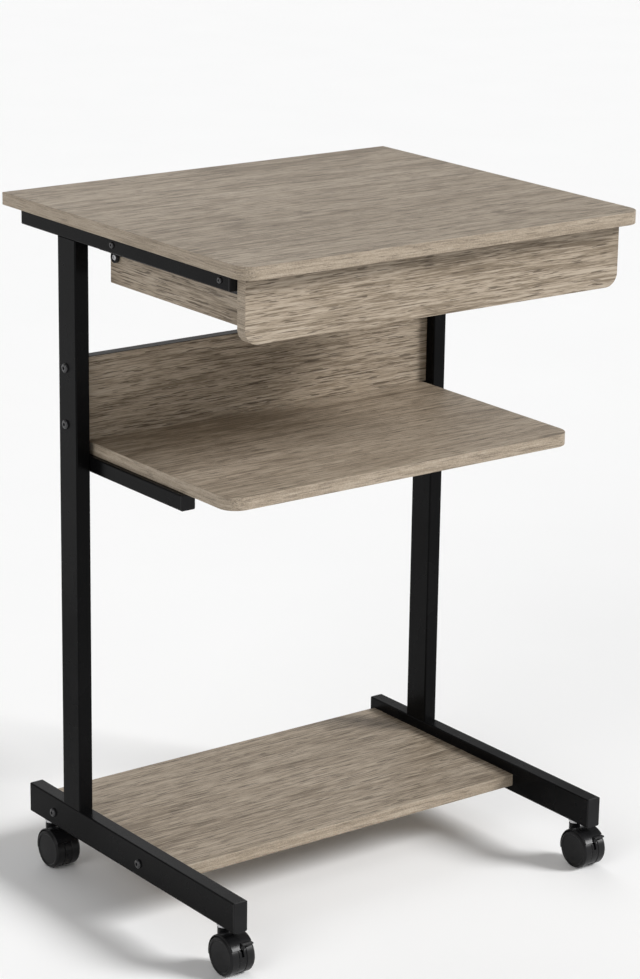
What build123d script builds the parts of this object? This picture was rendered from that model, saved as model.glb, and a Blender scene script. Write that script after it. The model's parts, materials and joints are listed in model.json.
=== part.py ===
from build123d import *
import os

# Mobile printer stand: a welded steel frame on four twin-wheel casters, with a tabletop, a drawer under
# it on roller slides, a middle shelf with a back panel, and a bottom shelf between the two feet.
# X runs left to right, the drawer opens towards -Y, Z is up. The origin is on the floor, under the
# middle of the tabletop. Lengths are in millimetres.

os.makedirs("parts", exist_ok=True)

# Overall size and stock
TOP_WIDTH = 600
TOP_DEPTH = 522
TOP_HEIGHT = 880
BOARD = 16
DRAWER_BOARD = 12
TUBE = 20
TUBE_DEEP = 40
TUBE_WALL = 1.2
TUBE_CORNER = 2
CAP = 2
CAP_PLUG = 12
EDGE_EASE = 0.6
SHELF_CORNER = 24

# Frame: two side frames, each a rail over a post over a foot
FRAME_X = 292
INNER_X = FRAME_X - TUBE
MID_X = FRAME_X - TUBE / 2
TOP_UNDERSIDE = TOP_HEIGHT - BOARD
RAIL_BOTTOM = TOP_UNDERSIDE - TUBE
RAIL_FRONT = -220
RAIL_REAR = 230
POST_Y = 126
POST_REAR = POST_Y + TUBE_DEEP / 2
FOOT_FRONT = -237
FOOT_REAR = 228
FOOT_BOTTOM = 59
FOOT_TOP = FOOT_BOTTOM + TUBE_DEEP

# Shelves and back panel
SHELF_X = 265
SHELF_TOP = 585.5
SHELF_FRONT = -186
PANEL_Y = 130
PANEL_TOP = 693
BRACKET_FRONT = -95
LOW_SHELF_TOP = 84.5
LOW_SHELF_FRONT = -85
LOW_SHELF_REAR = 220

# Drawer
FRONT_X = 282
FRONT_FACE = -237
FRONT_TOP = 861
FRONT_BOTTOM = 783
FRONT_CORNER = 18
BOX_X = 259
BOX_FRONT = FRONT_FACE + BOARD
BOX_REAR = 77
BACK_Y = 62.5
BOX_TOP = 858
BOX_BOTTOM = 795
FLOOR_THICK = 3
FLOOR_BOTTOM = 801
GROOVE = 4
DOWEL_R = 3
DOWEL_HALF = 9
DRAWER_TRAVEL = 220

# Drawer slides, seen from the front as an open channel on each rail
SHEET = 1.2
CHANNEL_INNER = 262
CHANNEL_BOTTOM = 836.3
CHANNEL_TOP = 862
CHANNEL_FRONT = -216
CHANNEL_REAR = 82
SLIDE_GAP = 0.3
ROLLER_R = 7
FRONT_ROLLER_WIDE = 6
FRONT_ROLLER_Y = -200
FRONT_ROLLER_Z = CHANNEL_BOTTOM + SHEET + 0.3 + ROLLER_R
REAR_ROLLER_Z = CHANNEL_BOTTOM - SLIDE_GAP - ROLLER_R
RUNNER_FLANGE = FRONT_ROLLER_Z + ROLLER_R + SLIDE_GAP
RUNNER_OUT = 268.5
RUNNER_BOTTOM = 838
GLIDE_LONG = 12
REAR_ROLLER_X = 264.5
REAR_ROLLER_WIDE = 4.5
ROLLER_SUNK = 1.8
SCREW_SEAT_Z = 854.5

# Fasteners
SCREW_R = 2
HEAD_R = 4
HEAD_TALL = 2.2
BOLT_R = 3
BOLT_HEAD_R = 6
BOLT_HEAD_TALL = 3
FIT = 0.05

# Casters
CASTER_Y = (-201, 192)
TRAIL = 18
WHEEL_R = 25
WHEEL_IN = 5.6
WHEEL_RIM = 21.5
WHEEL_OUT = 18
AXLE_Z = WHEEL_R
AXLE_R = 2.5
AXLE_HALF = 15.4
WEB_HALF = 5.1
WEB_R = 24.6
WEB_BOTTOM = 6.5
HOOD_R = 27.5
HOOD_INNER = 25.8
HOOD_HALF = 16.6
HOOD_START = 32
HOOD_SWEEP = 160
NECK_R = 7.5
NECK_TOP = 54
JOURNAL_R = 3.5
JOURNAL_BOTTOM = 31
STEM_R = 4
STEM_TOP = 82
WASHER_R = 8.5
WASHER_TALL = 1.8
HEX_R = 7.5
NUT_TALL = 6.5
PIVOT = (14, 14)
PIN_R = 1.25
LEVER_HALF = 1.3
KEYHOLE_R = 3.6
BARREL_R = 3
BARREL_UP = 16.6
TAB_X = 15
TAB_TOP = 20


# Planes and repeated shapes

def side_face(side, x, y, z):
    """Plane at (side * x, y, z) that faces outwards; its own y is up and its own x is side * Y."""
    return Plane(origin=(side * x, y, z), x_dir=(0, side, 0), z_dir=(side, 0, 0))


def across(y, x=0, z=0):
    """Plane at (x, y, z) that faces the rear; its own x is X and its own y is down."""
    return Plane(origin=(x, y, z), x_dir=(1, 0, 0), z_dir=(0, 1, 0))


def save(solid, name):
    """Labels a finished piece and writes its STEP file."""
    solid.label = name
    export_step(solid, f"parts/{name}.step")


def bar(x0, x1, y0, y1, z0, z1):
    """Rectangular block between two opposite corners."""
    with BuildPart() as block:
        with BuildSketch(Plane.XY.offset(z0)):
            with Locations(((x0 + x1) / 2, (y0 + y1) / 2)):
                Rectangle(abs(x1 - x0), abs(y1 - y0))
        extrude(amount=z1 - z0)
    return block.part


def tube(plane, width, height, length):
    """Welded steel tube with rounded corners, run along the plane's normal."""
    with BuildPart() as stock:
        with BuildSketch(plane):
            RectangleRounded(width, height, TUBE_CORNER)
            inner = TUBE_CORNER - TUBE_WALL
            RectangleRounded(width - 2 * TUBE_WALL, height - 2 * TUBE_WALL, inner, mode=Mode.SUBTRACT)
        extrude(amount=length)
    return stock.part


def end_cap(plane, width, height):
    """Moulded cap on a tube's open end: the plane is the tube's end face, its normal pointing out."""
    fit_width = width - 2 * TUBE_WALL - 4 * FIT
    fit_height = height - 2 * TUBE_WALL - 4 * FIT
    rib = 1.6
    with BuildPart() as cap:
        with BuildSketch(plane):
            RectangleRounded(width, height, TUBE_CORNER)
        extrude(amount=CAP)
        fillet(cap.faces().sort_by(Axis(plane.origin, plane.z_dir))[-1].edges(), 0.9)
        with BuildSketch(plane):
            RectangleRounded(fit_width, fit_height, TUBE_CORNER - TUBE_WALL)
            Rectangle(fit_width - 2 * rib, fit_height - 2 * rib, mode=Mode.SUBTRACT)
        extrude(amount=-CAP_PLUG)
    return cap.part


def screw(seat, length, radius=SCREW_R, head=HEAD_R, head_tall=HEAD_TALL):
    """Pan-head screw with a hexagon socket: seat is the plane under its head, its normal pointing out."""
    with BuildPart() as body:
        with BuildSketch(seat):
            Circle(head)
        extrude(amount=head_tall)
        fillet(body.faces().sort_by(Axis(seat.origin, seat.z_dir))[-1].edges(), head_tall * 0.8)
        with BuildSketch(seat):
            Circle(radius)
        extrude(amount=-length)
        with BuildSketch(seat.offset(head_tall)):
            RegularPolygon(head * 0.4, 6)
        extrude(amount=-head_tall * 0.55, mode=Mode.SUBTRACT)
    return body.part


def screw_group(name, seats, length, **sizes):
    """One node of identical screws, each a separate solid."""
    save(Compound(children=[screw(seat, length, **sizes) for seat in seats]), name)


def drill(planes, radius, depth):
    """Holes into the current part, each running back from its plane."""
    for plane in planes:
        with Locations(plane):
            Hole(radius, depth)


SIDES = (("left", -1), ("right", 1))
DOWN = Vector(0, 0, -1)


def facing_down(x, y, z):
    """Plane at a point that faces the floor."""
    return Plane(origin=(x, y, z), x_dir=(1, 0, 0), z_dir=DOWN)


# Places of the screws, as planes under their heads
SLIDE_SCREW_Y = (-201, 23)
TOP_SCREW_Y = (-160, 60, 200)
PANEL_SCREW_Z = (609, 681)
LOW_SCREW_Y = (-30, 170)
BRACKET_SCREW_Y = (-70, 80)
slide_seats = [side_face(s, FRAME_X, y, SCREW_SEAT_Z) for _, s in SIDES for y in SLIDE_SCREW_Y]
top_seats = [facing_down(s * MID_X, y, RAIL_BOTTOM) for _, s in SIDES for y in TOP_SCREW_Y]
panel_seats = [side_face(s, FRAME_X, PANEL_Y, z) for _, s in SIDES for z in PANEL_SCREW_Z]
LOW_SCREW_Z = LOW_SHELF_TOP - BOARD / 2
low_seats = [side_face(s, FRAME_X, y, LOW_SCREW_Z) for _, s in SIDES for y in LOW_SCREW_Y]
SHELF_BOTTOM = SHELF_TOP - BOARD
BRACKET_BOTTOM = SHELF_BOTTOM - TUBE
BRACKET_X = INNER_X - TUBE / 2
bracket_seats = []
for side, s in SIDES:
    bracket_seats += [facing_down(s * (BRACKET_X - 1), y, BRACKET_BOTTOM) for y in BRACKET_SCREW_Y]


# Tabletop: square rear corners, rounded front corners, eased edges
with BuildPart() as tabletop:
    with BuildSketch(Plane.XY.offset(TOP_UNDERSIDE)):
        Rectangle(TOP_WIDTH, TOP_DEPTH)
    extrude(amount=BOARD)
    fillet(tabletop.edges().filter_by(Axis.Z).group_by(Axis.Y)[0], SHELF_CORNER)
    fillet(tabletop.faces().filter_by(Axis.Z).edges(), EDGE_EASE)
    drill([facing_down(p.origin.X, p.origin.Y, TOP_UNDERSIDE) for p in top_seats], SCREW_R + FIT, 12)
save(tabletop.part, "tabletop")


# Middle shelf: stands on the two brackets, rounded front corners
with BuildPart() as middle_shelf:
    with BuildSketch(Plane.XY.offset(SHELF_BOTTOM)):
        with Locations((0, (SHELF_FRONT + PANEL_Y + BOARD / 2) / 2)):
            Rectangle(2 * SHELF_X, PANEL_Y + BOARD / 2 - SHELF_FRONT)
    extrude(amount=BOARD)
    fillet(middle_shelf.edges().filter_by(Axis.Z).group_by(Axis.Y)[0], SHELF_CORNER)
    fillet(middle_shelf.faces().filter_by(Axis.Z).edges(), EDGE_EASE)
    drill([facing_down(p.origin.X, p.origin.Y, SHELF_BOTTOM) for p in bracket_seats], SCREW_R + FIT, 12)
save(middle_shelf.part, "middle_shelf")


# Back panel: stands on the shelf between the two posts
with BuildPart() as back_panel:
    with BuildSketch(Plane.XY.offset(SHELF_TOP)):
        with Locations((0, PANEL_Y)):
            Rectangle(2 * INNER_X, BOARD)
    extrude(amount=PANEL_TOP - SHELF_TOP)
    chamfer(back_panel.faces().sort_by(Axis.Z)[-1].edges().filter_by(Axis.X), EDGE_EASE)
    drill([side_face(s, INNER_X, PANEL_Y, z) for _, s in SIDES for z in PANEL_SCREW_Z], BOLT_R + FIT, 24)
save(back_panel.part, "back_panel")


# Bottom shelf: screwed between the two feet
with BuildPart() as bottom_shelf:
    with BuildSketch(Plane.XY.offset(LOW_SHELF_TOP - BOARD)):
        with Locations((0, (LOW_SHELF_FRONT + LOW_SHELF_REAR) / 2)):
            Rectangle(2 * INNER_X, LOW_SHELF_REAR - LOW_SHELF_FRONT)
    extrude(amount=BOARD)
    chamfer(bottom_shelf.edges().filter_by(Axis.X), EDGE_EASE)
    drill([side_face(s, INNER_X, y, LOW_SCREW_Z) for _, s in SIDES for y in LOW_SCREW_Y], BOLT_R + FIT, 24)
save(bottom_shelf.part, "bottom_shelf")


# Side frames: rail, post, foot and shelf bracket on each side, all steel tube
for side, s in SIDES:
    with BuildPart() as rail:
        end = across(RAIL_FRONT + CAP, s * MID_X, TOP_UNDERSIDE - TUBE / 2)
        add(tube(end, TUBE, TUBE, RAIL_REAR - RAIL_FRONT - 2 * CAP))
        drill(slide_seats[:2] if s < 0 else slide_seats[2:], SCREW_R + FIT, TUBE + 1)
        drill(top_seats[:3] if s < 0 else top_seats[3:], SCREW_R + FIT, TUBE + 1)
    save(rail.part, f"{side}_top_rail")

    with BuildPart() as post:
        add(tube(Plane(origin=(s * MID_X, POST_Y, FOOT_TOP)), TUBE, TUBE_DEEP, RAIL_BOTTOM - FOOT_TOP))
        drill(panel_seats[:2] if s < 0 else panel_seats[2:], BOLT_R + FIT, TUBE + 1)
    save(post.part, f"{side}_post")

    with BuildPart() as foot:
        end = across(FOOT_FRONT + CAP, s * MID_X, FOOT_BOTTOM + TUBE_DEEP / 2)
        add(tube(end, TUBE, TUBE_DEEP, FOOT_REAR - FOOT_FRONT - 2 * CAP))
        drill(low_seats[:2] if s < 0 else low_seats[2:], BOLT_R + FIT, TUBE + 1)
        drill([facing_down(s * MID_X, y, FOOT_BOTTOM) for y in CASTER_Y], STEM_R + 0.3, 5)
    save(foot.part, f"{side}_foot")

    with BuildPart() as bracket:
        end = across(BRACKET_FRONT + CAP, s * BRACKET_X, SHELF_BOTTOM - TUBE / 2)
        add(tube(end, TUBE, TUBE, POST_REAR - BRACKET_FRONT - 2 * CAP))
        drill(bracket_seats[:2] if s < 0 else bracket_seats[2:], SCREW_R + FIT, TUBE + 1)
    save(bracket.part, f"{side}_shelf_bracket")


# Moulded caps in the open tube ends, one node for each size and place
def cap_group(name, x, z, front, rear, height):
    """Caps at both ends of a left and a right tube."""
    caps = []
    for _, s in SIDES:
        for y, facing in ((front + CAP, -1), (rear - CAP, 1)):
            end = Plane(origin=(s * x, y, z), x_dir=(1, 0, 0), z_dir=(0, facing, 0))
            caps.append(end_cap(end, TUBE, height))
    save(Compound(children=caps), name)


cap_group("rail_end_caps", MID_X, TOP_UNDERSIDE - TUBE / 2, RAIL_FRONT, RAIL_REAR, TUBE)
cap_group("foot_end_caps", MID_X, FOOT_BOTTOM + TUBE_DEEP / 2, FOOT_FRONT, FOOT_REAR, TUBE_DEEP)
cap_group("bracket_end_caps", BRACKET_X, SHELF_BOTTOM - TUBE / 2, BRACKET_FRONT, POST_REAR, TUBE)


# Frame screws
screw_group("tabletop_screws", top_seats, TUBE + 11)
screw_group("slide_screws", slide_seats, TUBE + SHEET + 0.8)
screw_group("middle_shelf_screws", bracket_seats, TUBE + 11)
bolt = dict(radius=BOLT_R, head=BOLT_HEAD_R, head_tall=BOLT_HEAD_TALL)
screw_group("panel_screws", panel_seats, TUBE + 22, **bolt)
screw_group("bottom_shelf_screws", low_seats, TUBE + 22, **bolt)


# Drawer: front, two sides, back and a thin floor let into grooves
SIDE_INNER = BOX_X - DRAWER_BOARD
FLOOR_TOP = FLOOR_BOTTOM + FLOOR_THICK
DOWEL_Z = (815, 845)
BACK_DOWEL_Z = 811
RUNNER_SCREW_Y = (-190, -75, 40)
RUNNER_SCREW_Z = 845
RUNNER_SCREW_R = 1.5
SIDE_MID = BOX_X - DRAWER_BOARD / 2
front_dowels = [across(BOX_FRONT - DOWEL_HALF, s * SIDE_MID, z) for _, s in SIDES for z in DOWEL_Z]
back_dowels = [side_face(s, SIDE_INNER - DOWEL_HALF, BACK_Y, BACK_DOWEL_Z) for _, s in SIDES]

with BuildPart() as drawer_front:
    with BuildSketch(across(FRONT_FACE, 0, (FRONT_TOP + FRONT_BOTTOM) / 2)):
        Rectangle(2 * FRONT_X, FRONT_TOP - FRONT_BOTTOM)
    extrude(amount=BOARD)
    fillet(drawer_front.edges().filter_by(Axis.Y).group_by(Axis.Z)[0], FRONT_CORNER)
    fillet(drawer_front.faces().filter_by(Axis.Y).edges(), EDGE_EASE)
    add(bar(-BOX_X + 8, BOX_X - 8, BOX_FRONT - GROOVE - FIT, BOX_FRONT, FLOOR_BOTTOM - FIT, FLOOR_TOP + FIT),
        mode=Mode.SUBTRACT)
    drill([across(BOX_FRONT, p.origin.X, p.origin.Z) for p in front_dowels], DOWEL_R, DOWEL_HALF)
save(drawer_front.part, "drawer_front")

for side, s in SIDES:
    with BuildPart() as drawer_side:
        add(bar(s * SIDE_INNER, s * BOX_X, BOX_FRONT, BOX_REAR, BOX_BOTTOM, BOX_TOP))
        chamfer(drawer_side.faces().sort_by(Axis.Z)[-1].edges().filter_by(Axis.Y), EDGE_EASE)
        add(bar(s * SIDE_INNER, s * (SIDE_INNER + GROOVE + FIT), BOX_FRONT, BOX_REAR,
                FLOOR_BOTTOM - FIT, FLOOR_TOP + FIT), mode=Mode.SUBTRACT)
        drill([side_face(s, BOX_X, BACK_Y, REAR_ROLLER_Z)], SCREW_R + FIT, DRAWER_BOARD)
        drill([side_face(s, BOX_X, y, RUNNER_SCREW_Z) for y in RUNNER_SCREW_Y], RUNNER_SCREW_R + FIT, 8)
        drill([side_face(-s, -SIDE_INNER, BACK_Y, BACK_DOWEL_Z)], DOWEL_R, DOWEL_HALF)
        drill([Plane(origin=(s * SIDE_MID, BOX_FRONT, z), z_dir=(0, -1, 0)) for z in DOWEL_Z],
              DOWEL_R, DOWEL_HALF)
    save(drawer_side.part, f"drawer_{side}_side")

with BuildPart() as drawer_back:
    half = DRAWER_BOARD / 2
    add(bar(-SIDE_INNER, SIDE_INNER, BACK_Y - half, BACK_Y + half, FLOOR_TOP, BOX_TOP))
    chamfer(drawer_back.faces().sort_by(Axis.Z)[-1].edges().filter_by(Axis.X), EDGE_EASE)
    drill([side_face(s, SIDE_INNER, BACK_Y, REAR_ROLLER_Z) for _, s in SIDES], SCREW_R + FIT, 24)
    drill([side_face(s, SIDE_INNER, BACK_Y, BACK_DOWEL_Z) for _, s in SIDES], DOWEL_R, DOWEL_HALF)
save(drawer_back.part, "drawer_back")

floor_half = SIDE_INNER + GROOVE
floor_rear = BACK_Y + DRAWER_BOARD / 2
drawer_bottom = bar(-floor_half, floor_half, BOX_FRONT - GROOVE, floor_rear, FLOOR_BOTTOM, FLOOR_TOP)
save(drawer_bottom, "drawer_bottom")

dowels = []
for seat in front_dowels + back_dowels:
    with BuildPart() as dowel:
        with BuildSketch(seat):
            Circle(DOWEL_R)
        extrude(amount=2 * DOWEL_HALF)
        chamfer(dowel.edges(), 0.6)
    dowels.append(dowel.part)
save(Compound(children=dowels), "drawer_dowels")


# Drawer slides: a fixed channel on each rail, a runner on each side of the drawer
RUNNER_IN = BOX_X + SHEET
RUNNER_REAR = BOX_REAR - 1
RUNNER_FRONT = BOX_FRONT + 6
GLIDE_FRONT = RUNNER_REAR - GLIDE_LONG
STOP_REAR = GLIDE_FRONT - DRAWER_TRAVEL - SLIDE_GAP
LIP_TOP = CHANNEL_BOTTOM + SHEET
glides = []
roller_pins = []
for side, s in SIDES:
    with BuildPart() as channel:
        add(bar(s * (INNER_X - SHEET), s * INNER_X, CHANNEL_FRONT, CHANNEL_REAR, CHANNEL_BOTTOM, CHANNEL_TOP))
        for z in (CHANNEL_BOTTOM, CHANNEL_TOP - SHEET):
            add(bar(s * CHANNEL_INNER, s * INNER_X, CHANNEL_FRONT, CHANNEL_REAR, z, z + SHEET))
        add(bar(s * (CHANNEL_INNER + 0.5), s * INNER_X, STOP_REAR - SHEET, STOP_REAR, LIP_TOP, LIP_TOP + 8.5))
        drill([side_face(s, INNER_X, y, SCREW_SEAT_Z) for y in SLIDE_SCREW_Y], SCREW_R + FIT, SHEET + 1)
    save(channel.part, f"{side}_slide_channel")

    with BuildPart() as runner:
        add(bar(s * BOX_X, s * RUNNER_IN, RUNNER_FRONT, RUNNER_REAR, RUNNER_BOTTOM, RUNNER_FLANGE + SHEET))
        add(bar(s * BOX_X, s * RUNNER_OUT, RUNNER_FRONT, RUNNER_REAR, RUNNER_FLANGE, RUNNER_FLANGE + SHEET))
        drill([side_face(s, RUNNER_IN, y, RUNNER_SCREW_Z) for y in RUNNER_SCREW_Y], RUNNER_SCREW_R + FIT, 2)
    save(runner.part, f"{side}_runner")

    glides.append(bar(s * RUNNER_IN, s * (RUNNER_OUT - 0.2), GLIDE_FRONT, RUNNER_REAR,
                      LIP_TOP + SLIDE_GAP, RUNNER_FLANGE))

    with BuildPart() as pin:
        with BuildSketch(side_face(s, INNER_X - SHEET, FRONT_ROLLER_Y, FRONT_ROLLER_Z)):
            Circle(SCREW_R)
        extrude(amount=-8)
        with BuildSketch(side_face(s, CHANNEL_INNER + 0.2, FRONT_ROLLER_Y, FRONT_ROLLER_Z)):
            Circle(SCREW_R + 1.5)
        extrude(amount=0.6)
    roller_pins.append(pin.part)
save(Compound(children=glides), "runner_glides")
save(Compound(children=roller_pins), "slide_roller_pins")

runner_seats = [side_face(s, RUNNER_IN, y, RUNNER_SCREW_Z) for _, s in SIDES for y in RUNNER_SCREW_Y]
screw_group("runner_screws", runner_seats, 8, radius=RUNNER_SCREW_R, head=3, head_tall=1.2)
shoulder_x = REAR_ROLLER_X - ROLLER_SUNK + SLIDE_GAP
shoulder_seats = [side_face(s, shoulder_x, BACK_Y, REAR_ROLLER_Z) for _, s in SIDES]
screw_group("roller_screws", shoulder_seats, shoulder_x - SIDE_INNER + 20, head_tall=1.4)


def roller(outer_face, wide):
    """Nylon roller with a sunk centre in its outer face, where a screw's head can lie."""
    with BuildPart() as wheel:
        with BuildSketch(outer_face):
            Circle(ROLLER_R)
        extrude(amount=-wide)
        chamfer(wheel.edges(), 0.5)
        with BuildSketch(outer_face):
            Circle(HEAD_R + 0.8)
        extrude(amount=-ROLLER_SUNK, mode=Mode.SUBTRACT)
        with Locations(outer_face):
            Hole(SCREW_R + FIT, wide)
    return wheel.part


for side, s in SIDES:
    fixed_face = side_face(s, INNER_X - SHEET - 0.8, FRONT_ROLLER_Y, FRONT_ROLLER_Z)
    save(roller(fixed_face, FRONT_ROLLER_WIDE), f"{side}_slide_roller")
    drawer_face = side_face(s, REAR_ROLLER_X, BACK_Y, REAR_ROLLER_Z)
    save(roller(drawer_face, REAR_ROLLER_WIDE), f"{side}_drawer_roller")


# Casters: a stem screwed into the foot, a hooded housing that swivels on it, an axle and two wheels
def from_left(x, y):
    """Plane through a caster's axle that faces -X: its own x runs forwards and its own y is up."""
    return Plane(origin=(x, y, AXLE_Z), x_dir=(0, -1, 0), z_dir=(-1, 0, 0))


def from_front(x, y, ahead):
    """Plane that faces -Y, ahead of a caster's axle: its own x is X and its own y is up."""
    return Plane(origin=(x, y - ahead, AXLE_Z), x_dir=(1, 0, 0), z_dir=(0, -1, 0))


def stem(x, y):
    """Threaded stem with a washer and hexagon under the foot and a plain journal below them."""
    steps = ((JOURNAL_R, JOURNAL_BOTTOM, FOOT_BOTTOM), (WASHER_R, FOOT_BOTTOM - WASHER_TALL, FOOT_BOTTOM),
             (STEM_R, FOOT_BOTTOM, STEM_TOP))
    with BuildPart() as rod:
        for radius, low, high in steps:
            with BuildSketch(Plane(origin=(x, y, low))):
                Circle(radius)
            extrude(amount=high - low)
        with BuildSketch(Plane(origin=(x, y, NECK_TOP + SLIDE_GAP))):
            RegularPolygon(HEX_R, 6)
        extrude(amount=FOOT_BOTTOM - NECK_TOP - SLIDE_GAP)
        for end in (0, -1):
            chamfer(rod.faces().sort_by(Axis.Z)[end].edges(), 0.8)
    return rod.part


def stem_nut(x, y):
    """Nut on the inside of the foot's lower wall."""
    with BuildPart() as nut:
        with BuildSketch(Plane(origin=(x, y, FOOT_BOTTOM + TUBE_WALL))):
            RegularPolygon(HEX_R, 6)
            Circle(STEM_R + FIT, mode=Mode.SUBTRACT)
        extrude(amount=NUT_TALL)
    return nut.part


def brake_room(x, y):
    """Space in a front caster's housing for the brake lever over its travel."""
    view = from_left(x, y)
    with BuildPart() as room:
        with BuildSketch(view):
            Polygon((9.8, 17.8), (18, 20.4), (32, 20.4), (32, 4), (20, 4), (9.8, 9.6), align=None)
        extrude(amount=LEVER_HALF + 0.4, both=True)
        with BuildSketch(from_front(x, y, 16)):
            with Locations((0, BARREL_UP), (0, BARREL_UP - 2.6)):
                Circle(KEYHOLE_R)
            with Locations((0, BARREL_UP - 1.3)):
                Rectangle(2 * KEYHOLE_R, 2.6)
        extrude(amount=16)
        with BuildSketch(view.offset(-HOOD_HALF - 1)):
            Polygon((16, 10), (32, 10), (32, TAB_TOP + 0.4), (16, TAB_TOP + 0.4), align=None)
            Circle(WEB_R + 0.5, mode=Mode.SUBTRACT)
        extrude(amount=HOOD_HALF + 1.5)
        with Locations(view):
            with Locations(PIVOT):
                Cylinder(PIN_R, 2 * WEB_HALF + 2)
    return room.part


def housing(x, y, braked):
    """Hood over both wheels, the web between them and the neck that turns on the stem."""
    axle_y = y - TRAIL
    view = from_left(x, axle_y)
    with BuildPart() as body:
        with BuildSketch(view):
            with BuildLine():
                arc = CenterArc((0, 0), HOOD_R, HOOD_START, HOOD_SWEEP)
                Polyline(arc @ 1, (0, 0), arc @ 0)
            make_face()
        extrude(amount=HOOD_HALF, both=True)
        fillet(body.edges().filter_by(GeomType.CIRCLE), 1.6)
        with BuildSketch(view):
            Circle(WEB_R)
            with Locations((0, WEB_BOTTOM - AXLE_Z)):
                Rectangle(2 * WEB_R, WEB_R, align=(Align.CENTER, Align.MAX), mode=Mode.SUBTRACT)
        extrude(amount=WEB_HALF, both=True)
        with BuildSketch(Plane(origin=(x, y, AXLE_Z))):
            Circle(NECK_R)
        extrude(amount=NECK_TOP - AXLE_Z)
        chamfer(body.faces().sort_by(Axis.Z)[-1].edges(), 0.8)
        for turn in (-1, 1):
            well = Plane(origin=(x + turn * WEB_HALF, axle_y, AXLE_Z), x_dir=(0, 1, 0), z_dir=(turn, 0, 0))
            with BuildSketch(well):
                Circle(HOOD_INNER)
            extrude(amount=HOOD_HALF, mode=Mode.SUBTRACT)
        with Locations(Plane(origin=(x, y, NECK_TOP))):
            Hole(JOURNAL_R + FIT, NECK_TOP - JOURNAL_BOTTOM + 0.5)
        with Locations(view):
            Hole(AXLE_R)
        if braked:
            add(brake_room(x, axle_y), mode=Mode.SUBTRACT)
    return body.part


def cross_pin(plane, radius, half):
    """Steel pin centred on a plane."""
    with BuildPart() as rod:
        with BuildSketch(plane):
            Circle(radius)
        extrude(amount=half, both=True)
        chamfer(rod.edges(), 0.4)
    return rod.part


def caster_wheel(x, y, turn):
    """Wheel with a hollow inner side and a raised ring on its outer face; turn is -1 or 1 along X."""
    view = Plane(origin=(x, y, AXLE_Z), x_dir=(turn, 0, 0), z_dir=(0, -turn, 0))
    bore = AXLE_R + FIT
    with BuildPart() as wheel:
        with BuildSketch(view) as section:
            Polygon((WHEEL_IN, bore), (WHEEL_IN, 5.5), (14, 5.5), (14, WHEEL_RIM), (WHEEL_IN, WHEEL_RIM),
                    (WHEEL_IN, WHEEL_R), (15.4, WHEEL_R), (17.6, 23.5), (WHEEL_OUT, 22.7), (WHEEL_OUT, 20.8),
                    (17.2, 19.8), (17.6, 8), (17.7, 0), (15.7, 0), (15.7, bore), align=None)
            fillet(section.vertices().group_by(Axis.Y)[-1], 0.9)
        revolve(axis=Axis((x, y, AXLE_Z), (1, 0, 0)))
    return wheel.part


def brake_lever(x, y):
    """Arm on the pivot with a round boss, a tab over one wheel and a brake lug under the tab."""
    view = from_left(x, y)
    with BuildPart() as lever:
        with BuildSketch(view):
            with Locations(PIVOT):
                Circle(3)
            Polygon((14.6, 11.1), (18.8, 13.4), (18.8, 19.6), (13.4, 16.94), align=None)
        extrude(amount=LEVER_HALF, both=True)
        with BuildSketch(from_front(x, y, 18)):
            with Locations((0, BARREL_UP)):
                Circle(BARREL_R)
        extrude(amount=5.6)
        with BuildSketch(view.offset(-TAB_X)):
            Polygon((19.3, 18.2), (20.6, 17.3), (23.4, 17.9), (23.8, TAB_TOP - 0.6), (23.2, TAB_TOP),
                    (18.7, TAB_TOP), align=None)
        extrude(amount=TAB_X)
        with BuildSketch(view.offset(-13.5)):
            Polygon((20.9, 15.7), (22.8, 16.2), (23.2, 18), (20.2, 18), align=None)
        extrude(amount=7)
        with Locations(view):
            with Locations(PIVOT):
                Hole(PIN_R + FIT)
    return lever.part


stems = []
nuts = []
for place, y in zip(("front", "rear"), CASTER_Y):
    for side, s in SIDES:
        x = s * MID_X
        name = f"{place}_{side}"
        axle = from_left(x, y - TRAIL)
        stems.append(stem(x, y))
        nuts.append(stem_nut(x, y))
        save(housing(x, y, place == "front"), f"{name}_caster_housing")
        save(cross_pin(axle, AXLE_R, AXLE_HALF), f"{name}_caster_axle")
        for turn, spot in ((s, "outer"), (-s, "inner")):
            save(caster_wheel(x, y - TRAIL, turn), f"{name}_{spot}_wheel")
        if place == "front":
            save(brake_lever(x, y - TRAIL), f"{name}_brake_lever")
            pivot = Plane(origin=axle.from_local_coords(Vector(*PIVOT, 0)), z_dir=axle.z_dir)
            save(cross_pin(pivot, PIN_R, WEB_HALF - 0.1), f"{name}_brake_pin")
save(Compound(children=stems), "caster_stems")
save(Compound(children=nuts), "caster_nuts")
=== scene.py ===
import json
import math

import bpy
from mathutils import Matrix, Vector

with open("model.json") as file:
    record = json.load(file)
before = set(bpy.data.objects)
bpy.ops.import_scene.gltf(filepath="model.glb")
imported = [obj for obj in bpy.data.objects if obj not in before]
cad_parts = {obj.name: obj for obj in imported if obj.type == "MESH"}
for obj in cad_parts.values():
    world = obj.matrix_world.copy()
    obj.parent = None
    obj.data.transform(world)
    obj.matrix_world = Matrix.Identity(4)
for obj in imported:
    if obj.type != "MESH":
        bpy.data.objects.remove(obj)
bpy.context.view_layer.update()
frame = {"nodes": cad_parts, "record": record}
nodes = frame["nodes"]
slots = {part["node"]: part["material_slot"] for part in frame["record"]["subparts"]}


# Shader helpers: every finish is built from object coordinates, so it stays on the part in any pose

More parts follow.
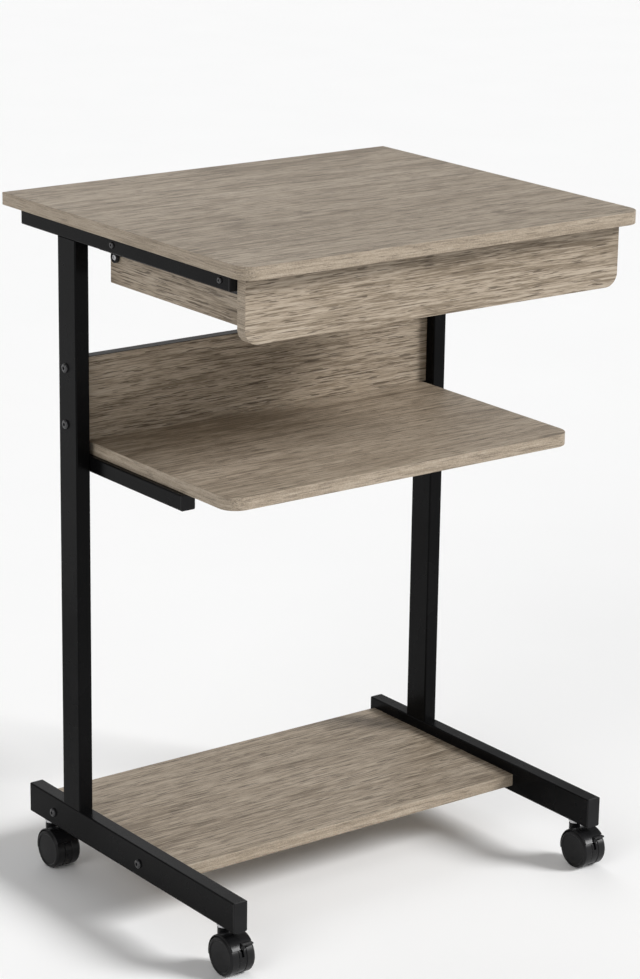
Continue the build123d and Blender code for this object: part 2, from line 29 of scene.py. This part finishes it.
class Shader:
    """One material and short ways to add nodes to it."""

    def __init__(self, name, color, roughness, metallic=0.0, specular=0.5):
        self.material = bpy.data.materials.new(name)
        self.material.use_nodes = True
        self.tree = self.material.node_tree
        self.surface = self.tree.nodes["Principled BSDF"]
        self.set("Base Color", (*color, 1))
        self.set("Roughness", roughness)
        self.set("Metallic", metallic)
        self.set("Specular IOR Level", specular)
        self.place = self.add("ShaderNodeTexCoord").outputs["Object"]

    def add(self, kind, **settings):
        node = self.tree.nodes.new(kind)
        for key, value in settings.items():
            setattr(node, key, value)
        return node

    def link(self, source, socket):
        self.tree.links.new(source, socket)

    def set(self, name, value):
        self.surface.inputs[name].default_value = value

    def drive(self, name, source):
        """Feeds one of the surface's inputs from a node's output."""
        self.link(source, self.surface.inputs[name])

    def put(self, value, socket):
        """Links a node's output to a socket, or sets a constant there."""
        if isinstance(value, bpy.types.NodeSocket):
            self.link(value, socket)
        else:
            socket.default_value = value

    def math(self, operation, a, b=0.0, c=0.0, clamp=False):
        node = self.add("ShaderNodeMath", operation=operation, use_clamp=clamp)
        for value, socket in zip((a, b, c), node.inputs):
            self.put(value, socket)
        return node.outputs[0]

    def scaled(self, vector, scale, shift=(0, 0, 0)):
        node = self.add("ShaderNodeMapping")
        self.link(vector, node.inputs["Vector"])
        node.inputs["Scale"].default_value = scale
        node.inputs["Location"].default_value = shift
        return node.outputs[0]

    def noise(self, vector, scale=1.0, detail=2.0, rough=0.5, distortion=0.0):
        node = self.add("ShaderNodeTexNoise")
        self.link(vector, node.inputs["Vector"])
        node.inputs["Scale"].default_value = scale
        node.inputs["Detail"].default_value = detail
        node.inputs["Roughness"].default_value = rough
        node.inputs["Distortion"].default_value = distortion
        return node.outputs["Fac"]

    def fit(self, value, low, high, to_low=0.0, to_high=1.0):
        node = self.add("ShaderNodeMapRange", interpolation_type="SMOOTHSTEP")
        self.link(value, node.inputs["Value"])
        limits = {"From Min": low, "From Max": high, "To Min": to_low, "To Max": to_high}
        for name, number in limits.items():
            node.inputs[name].default_value = number
        return node.outputs[0]

    def mix(self, share, a, b, blend="MIX"):
        node = self.add("ShaderNodeMix", data_type="RGBA", blend_type=blend)
        self.put(share, node.inputs["Factor"])
        colors = [socket for socket in node.inputs if socket.type == "RGBA"]
        for value, socket in zip((a, b), colors):
            self.put(value if isinstance(value, bpy.types.NodeSocket) else (*value, 1), socket)
        return next(socket for socket in node.outputs if socket.type == "RGBA")

    def choose(self, share, a, b):
        """Vector a where share is 0 and vector b where it is 1."""
        node = self.add("ShaderNodeMix", data_type="VECTOR")
        self.link(share, node.inputs["Factor"])
        for vector, letter in ((a, "A"), (b, "B")):
            self.link(vector, next(s for s in node.inputs if s.identifier == f"{letter}_Vector"))
        return next(s for s in node.outputs if s.type == "VECTOR")

    def bump(self, height, depth):
        node = self.add("ShaderNodeBump")
        node.inputs["Distance"].default_value = depth
        self.link(height, node.inputs["Height"])
        return node.outputs["Normal"]

    def grain(self, spot, along, across, detail, rough, distortion=0.0):
        """Noise drawn out along the board: so many features a metre along it and across it."""
        return self.noise(self.scaled(spot, (along, across, across)), 1.0, detail, rough, distortion)


def times(color, factor):
    return tuple(channel * factor for channel in color)


# Wood: rustic oak print on faced board, with paler speckled edge bands

OAK_LIGHT = (0.410, 0.346, 0.272)
OAK_MID = (0.288, 0.235, 0.174)
OAK_DARK = (0.168, 0.131, 0.092)
OAK_PORE = (0.060, 0.043, 0.029)
EDGE_DARK = (0.030, 0.025, 0.022)
BAND_SHARE = 0.45
BROAD_FACE = 0.9
END_FACE = 0.72
TOP_FACE = 0.5
RING_COUNT = 13.0


def oak(name, grain, face, shift, dark_top=False):
    """Oak with its grain along X or Y and its broad faces square to the face axis, and edge bands."""
    m = Shader(name, OAK_MID, 0.50, specular=0.22)
    axes = m.add("ShaderNodeSeparateXYZ")
    m.link(m.place, axes.inputs[0])
    x, y, z = axes.outputs
    along, cross = (x, y) if grain == "X" else (y, x)
    board = m.add("ShaderNodeCombineXYZ")
    for value, socket in zip((along, cross, z), board.inputs):
        m.link(value, socket)
    moved = m.scaled(board.outputs[0], (1, 1, 1), shift)

    normal = m.add("ShaderNodeSeparateXYZ")
    m.link(m.add("ShaderNodeTexCoord").outputs["Normal"], normal.inputs[0])
    at_end = m.math("GREATER_THAN", m.math("ABSOLUTE", normal.outputs[grain]), END_FACE)
    edge = m.add("ShaderNodeCombineXYZ")
    m.link(m.math("ADD", m.math("ABSOLUTE", along), cross), edge.inputs[0])
    m.link(z, edge.inputs[1])
    edge_moved = m.scaled(edge.outputs[0], (1, 1, 1), (shift[0] + 3, shift[1], 0))
    spot = m.choose(at_end, moved, edge_moved)

    figure = m.grain(spot, 1.1, 9.0, 2.0, 0.45, 0.6)
    rings = m.math("PINGPONG", m.math("MULTIPLY", figure, RING_COUNT), 1.0)
    lines = m.fit(rings, 0.72, 1.0)
    clouds = m.grain(spot, 2.6, 13.0, 3.0, 0.55)
    streaks = m.grain(spot, 7.0, 240.0, 6.0, 0.78)
    fibres = m.grain(spot, 26.0, 640.0, 3.0, 0.75)
    dashes = m.fit(m.grain(spot, 30.0, 620.0, 1.0, 0.5), 0.61, 0.64)
    checks = m.fit(m.grain(spot, 12.0, 380.0, 3.0, 0.7), 0.63, 0.655)

    tone = m.math("ADD", m.math("MULTIPLY", streaks, 0.45), m.math("MULTIPLY", clouds, 0.13))
    tone = m.math("ADD", tone, m.math("MULTIPLY", fibres, 0.50))
    tone = m.math("ADD", tone, m.math("MULTIPLY", lines, -0.05))
    color = m.mix(m.fit(tone, 0.43, 0.56), OAK_DARK, OAK_MID)
    color = m.mix(m.fit(tone, 0.50, 0.64), color, OAK_LIGHT)
    color = m.mix(m.math("MULTIPLY", dashes, 0.70), color, OAK_PORE)
    color = m.mix(m.math("MULTIPLY", checks, 0.75), color, OAK_PORE)
    band = m.math("LESS_THAN", m.math("ABSOLUTE", normal.outputs[face]), BROAD_FACE)
    specks = m.fit(m.noise(m.place, 620.0, 2.0, 0.6), 0.46, 0.58)
    pale = m.mix(specks, OAK_MID, OAK_LIGHT)
    color = m.mix(m.math("MULTIPLY", band, BAND_SHARE), color, pale)
    if dark_top:
        color = m.mix(m.math("GREATER_THAN", normal.outputs["Z"], TOP_FACE), color, EDGE_DARK)
    m.drive("Base Color", color)
    m.drive("Roughness", m.fit(fibres, 0.3, 0.7, 0.44, 0.58))
    relief = m.math("SUBTRACT", m.math("MULTIPLY", fibres, 0.35), dashes)
    m.drive("Normal", m.bump(relief, 0.00008))
    return m.material


def powder_coat(name, color=(0.0028, 0.0028, 0.0030), roughness=0.25, specular=0.06):
    """Satin powder coat with its fine orange peel."""
    m = Shader(name, color, roughness, specular=specular)
    peel = m.noise(m.place, 1400.0, 2.0, 0.5)
    waves = m.noise(m.place, 240.0, 2.0, 0.5)
    soft = m.noise(m.place, 14.0, 3.0, 0.6)
    m.drive("Base Color", m.mix(m.fit(soft, 0.3, 0.7), color, times(color, 1.5)))
    m.drive("Roughness", m.fit(soft, 0.3, 0.7, roughness - 0.04, roughness + 0.05))
    height = m.math("ADD", m.math("MULTIPLY", peel, 0.4), waves)
    m.drive("Normal", m.bump(height, 0.00004))
    return m.material


def moulded(name, color, roughness):
    """Moulded plastic with a fine spark-eroded texture."""
    m = Shader(name, color, roughness, specular=0.16)
    fine = m.noise(m.place, 2200.0, 2.0, 0.6)
    soft = m.noise(m.place, 35.0, 2.0, 0.5)
    m.drive("Base Color", m.mix(m.fit(soft, 0.3, 0.7), color, times(color, 1.35)))
    m.drive("Roughness", m.fit(soft, 0.3, 0.7, roughness - 0.03, roughness + 0.04))
    m.drive("Normal", m.bump(fine, 0.00003))
    return m.material


def plated(name):
    """Zinc-plated steel with faint cloudy tarnish."""
    zinc = (0.56, 0.56, 0.57)
    m = Shader(name, zinc, 0.28, metallic=1.0)
    soft = m.noise(m.place, 160.0, 3.0, 0.6)
    m.drive("Base Color", m.mix(m.fit(soft, 0.3, 0.7), times(zinc, 0.8), zinc))
    m.drive("Roughness", m.fit(soft, 0.3, 0.7, 0.28, 0.42))
    m.drive("Normal", m.bump(m.noise(m.place, 900.0), 0.00002))
    return m.material


def hardboard(name):
    """Plain pale wood: the drawer's thin floor and its dowels."""
    m = Shader(name, (0.50, 0.43, 0.35), 0.5)
    fine = m.noise(m.scaled(m.place, (20.0, 300.0, 20.0)), 1.0, 4.0, 0.6)
    specks = m.noise(m.place, 700.0, 3.0, 0.6)
    color = m.mix(m.fit(fine, 0.3, 0.7), (0.40, 0.33, 0.26), (0.56, 0.49, 0.40))
    speckled = m.mix(m.fit(specks, 0.5, 0.75, 0.0, 0.3), color, (0.3, 0.23, 0.17))
    m.drive("Base Color", speckled)
    m.drive("Normal", m.bump(specks, 0.00004))
    return m.material


finishes = {
    "drawer_floor": hardboard("drawer_floor"),
    "beech": hardboard("beech"),
    "black_steel": powder_coat("black_steel"),
    "slide_steel": powder_coat("slide_steel", (0.010, 0.010, 0.011), 0.40, 0.25),
    "cap_plastic": moulded("cap_plastic", (0.006, 0.006, 0.0065), 0.38),
    "caster_plastic": moulded("caster_plastic", (0.007, 0.007, 0.0075), 0.26),
    "wheel_plastic": moulded("wheel_plastic", (0.009, 0.009, 0.0095), 0.32),
    "black_nylon": moulded("black_nylon", (0.010, 0.010, 0.011), 0.4),
    "zinc_steel": plated("zinc_steel"),
    "black_screw": powder_coat("black_screw", (0.012, 0.012, 0.013), 0.24, 0.6),
}
boards = {
    "tabletop": oak("oak_tabletop", "X", "Z", (0.0, 0.0, 0.0)),
    "middle_shelf": oak("oak_middle_shelf", "X", "Z", (1.7, 0.4, 0.2)),
    "bottom_shelf": oak("oak_bottom_shelf", "X", "Z", (3.1, 0.9, 0.1)),
    "back_panel": oak("oak_back_panel", "X", "Y", (5.3, 0.2, 0.7), dark_top=True),
    "drawer_front": oak("oak_drawer_front", "X", "Y", (7.9, 0.6, 0.3)),
    "drawer_left_side": oak("oak_left_side", "Y", "X", (9.1, 0.3, 0.5)),
    "drawer_right_side": oak("oak_right_side", "Y", "X", (11.3, 0.7, 0.9)),
    "drawer_back": oak("oak_drawer_back", "X", "Y", (13.7, 0.1, 0.4)),
}
for name, node in nodes.items():
    node.data.materials.clear()
    node.data.materials.append(boards.get(name) or finishes[slots[name]])


# Studio: pale floor, a white world that dims overhead, a key from the front right and two weaker fills

def soft_sun(name, source, strength, spread):
    """Even light over the whole floor from one direction; spread is the width of its disc in degrees."""
    data = bpy.data.lights.new(name, "SUN")
    data.energy = strength
    data.angle = math.radians(spread)
    lamp = bpy.data.objects.new(name, data)
    lamp.rotation_euler = (-Vector(source)).to_track_quat("-Z", "Y").to_euler()
    bpy.context.scene.collection.objects.link(lamp)


def floor(name, half):
    mesh = bpy.data.meshes.new(name)
    corners = [(-half, -half, 0), (half, -half, 0), (half, half, 0), (-half, half, 0)]
    mesh.from_pydata(corners, [], [(0, 1, 2, 3)])
    plane = bpy.data.objects.new(name, mesh)
    bpy.context.scene.collection.objects.link(plane)
    m = Shader("pale_floor", (0.93, 0.93, 0.93), 0.9, specular=0.0)
    soft = m.noise(m.place, 3.0, 2.0, 0.5)
    m.drive("Base Color", m.mix(soft, (0.92, 0.92, 0.92), (0.94, 0.94, 0.94)))
    mesh.materials.append(m.material)


FLOOR_HALF = 30.0
HORIZON = 1.0
OVERHEAD = 0.24
FADE_TOP = 0.42

floor("studio_floor", FLOOR_HALF)
world = bpy.data.worlds.new("studio")
world.use_nodes = True
sky = world.node_tree
height = sky.nodes.new("ShaderNodeSeparateXYZ")
sky.links.new(sky.nodes.new("ShaderNodeTexCoord").outputs["Generated"], height.inputs[0])
fade = sky.nodes.new("ShaderNodeMapRange")
fade.interpolation_type = "SMOOTHSTEP"
for key, value in {"From Min": 0.0, "From Max": FADE_TOP, "To Min": HORIZON, "To Max": OVERHEAD}.items():
    fade.inputs[key].default_value = value
sky.links.new(height.outputs["Z"], fade.inputs["Value"])
sky.links.new(fade.outputs[0], sky.nodes["Background"].inputs["Strength"])
sky.nodes["Background"].inputs["Color"].default_value = (1, 1, 1, 1)
bpy.context.scene.world = world
bpy.context.scene.view_settings.view_transform = "Standard"
soft_sun("key", (2.0, -2.1, 1.9), 3.0, 20)
soft_sun("fill", (-2.4, -0.8, 1.4), 0.8, 40)
soft_sun("rear", (0.8, 2.2, 1.9), 0.5, 40)


# Camera: from the front left, above the tabletop, with a long lens
CAMERA_AT = (-2.2094, -2.9465, 1.6144)
AZIMUTH = 36.93
ELEVATION = 16.72
ROLL = 0.86
LENS = 111.27
SENSOR = 36


def aim(azimuth, elevation, roll):
    """Rotation of a camera that looks that many degrees right of +Y and down from level."""
    turn = Matrix.Rotation(math.radians(-azimuth), 4, "Z")
    tilt = Matrix.Rotation(math.radians(90 - elevation), 4, "X")
    return (turn @ tilt @ Matrix.Rotation(math.radians(roll), 4, "Z")).to_euler()


camera_data = bpy.data.cameras.new("camera")
camera_data.lens = LENS
camera_data.sensor_width = SENSOR
camera = bpy.data.objects.new("camera", camera_data)
camera.location = CAMERA_AT
camera.rotation_euler = aim(AZIMUTH, ELEVATION, ROLL)
bpy.context.scene.collection.objects.link(camera)
bpy.context.scene.camera = camera
